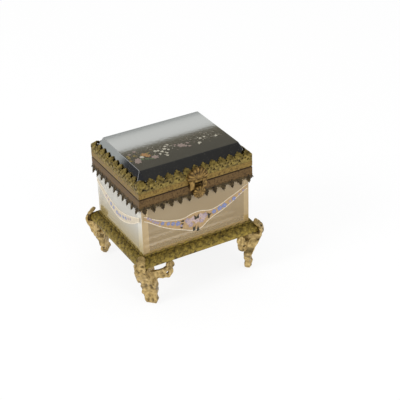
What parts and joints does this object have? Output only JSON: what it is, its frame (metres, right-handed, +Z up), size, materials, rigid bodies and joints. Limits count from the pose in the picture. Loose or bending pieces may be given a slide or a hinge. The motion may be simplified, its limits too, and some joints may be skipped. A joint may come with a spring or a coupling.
{
  "type": "glass casket box",
  "caption": "Small keepsake casket with bevelled glass walls in a gilt brass frame on scroll feet, with a hinged dark glass lid and a hasp.",
  "frame": {"origin": "on the ground, under the middle of the box", "axes": "+X along the front from left to right, +Y from front to back, +Z up"},
  "size_m": [0.1066, 0.0922, 0.1022],
  "materials": {
    "plate_brass": "worn sheet brass",
    "moulding_gilt": "stamped and gilt, with dark hollows",
    "foot_gilt": "cast and gilt, rubbed on the high places",
    "pin_brass": "turned brass",
    "clear_glass": "polished, bevelled, enamelled garland",
    "rail_brass": "drawn brass, aged",
    "apron_brass": "stamped, dark with age",
    "gallery_gilt": "stamped, pierced and gilt",
    "shell_brass": "cast, fluted, rubbed",
    "board_card": "thin board",
    "pad_silk": "tufted silk",
    "dark_glass": "polished black glass, painted spray of flowers"
  },
  "bodies": {
    "root": {"base_plate": "plate_brass", "base_moulding_front": "moulding_gilt", "base_moulding_rear": "moulding_gilt", "base_moulding_left": "moulding_gilt", "base_moulding_right": "moulding_gilt", "foot_front_left": "foot_gilt", "foot_front_right": "foot_gilt", "foot_rear_left": "foot_gilt", "foot_rear_right": "foot_gilt", "foot_screws": "pin_brass", "foot_nuts": "pin_brass", "glass_front": "clear_glass", "glass_rear": "clear_glass", "glass_left": "clear_glass", "glass_right": "clear_glass", "body_rim": "rail_brass", "apron_front": "apron_brass", "apron_rear": "apron_brass", "apron_left": "apron_brass", "apron_right": "apron_brass", "catch_plate": "plate_brass", "catch_stud": "pin_brass", "hinge_leaf_body": "plate_brass", "hinge_pin": "pin_brass", "hinge_rivets_body": "pin_brass", "pad_board": "board_card", "silk_pad": "pad_silk"},
    "lid": {"lid_glass": "dark_glass", "lid_rail": "rail_brass", "gallery_front": "gallery_gilt", "gallery_rear": "gallery_gilt", "gallery_left": "gallery_gilt", "gallery_right": "gallery_gilt", "shell_boss": "shell_brass", "hinge_leaf_lid": "plate_brass", "hinge_rivets_lid": "pin_brass", "hasp_pin": "pin_brass"},
    "hasp": {"hasp": "shell_brass", "hasp_pull": "shell_brass", "hasp_tines": "pin_brass"}
  },
  "joints": [
    {"name": "lid_hinge", "type": "hinge", "parent": "root", "child": "lid", "pos_m": [0, 0.0391, 0.0855], "axis": [-1, 0, 0], "range_deg": [0, 100]},
    {"name": "hasp_swing", "type": "hinge", "parent": "lid", "child": "hasp", "pos_m": [0, -0.0388, 0.0881], "axis": [-1, 0, 0], "range_deg": [0, 75]}
  ]
}
